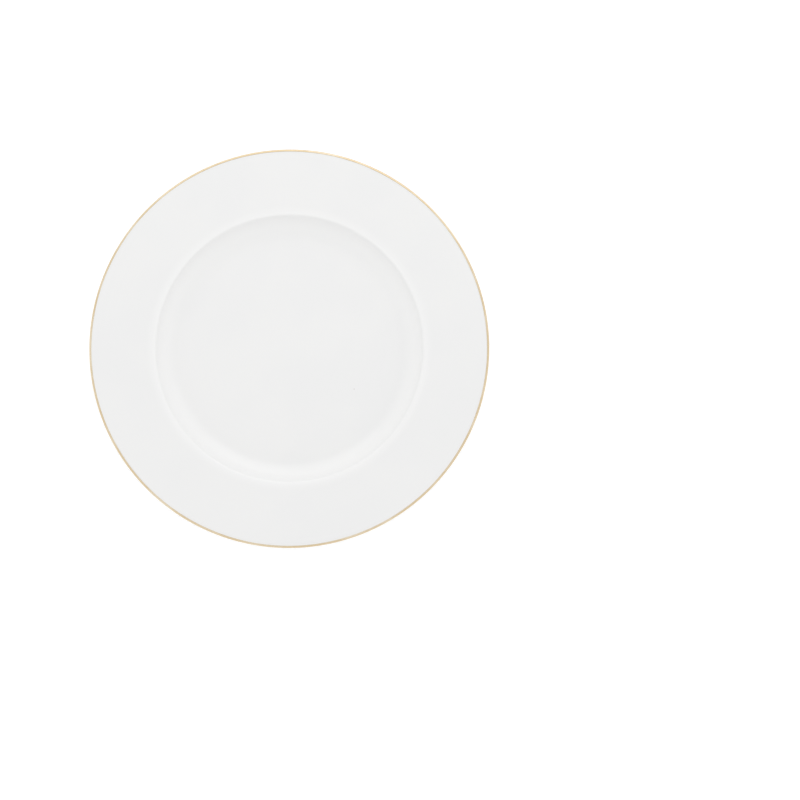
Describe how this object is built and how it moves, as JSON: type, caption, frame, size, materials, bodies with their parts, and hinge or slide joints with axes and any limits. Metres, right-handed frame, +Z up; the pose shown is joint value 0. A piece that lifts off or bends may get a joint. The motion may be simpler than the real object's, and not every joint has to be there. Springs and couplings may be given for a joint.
{
  "type": "dinner plate",
  "caption": "Round white glazed porcelain dinner plate with a broad flat rim, a shallow well, a low foot ring and a thin gold line round the edge.",
  "frame": {"origin": "under the plate's centre, on the surface that the foot ring stands on", "axes": "+Z up through the plate's centre, out of the eating side; the plate is round, so +X and +Y are any two directions across it"},
  "size_m": [0.27, 0.27, 0.021],
  "materials": {
    "bare_porcelain": "matte",
    "white_glaze": "gloss",
    "gold": "polished"
  },
  "bodies": {
    "root": {"porcelain_body": "bare_porcelain", "face_glaze": "white_glaze", "underside_glaze": "white_glaze", "foot_recess_glaze": "white_glaze", "gold_rim_band": "gold"}
  },
  "joints": []
}
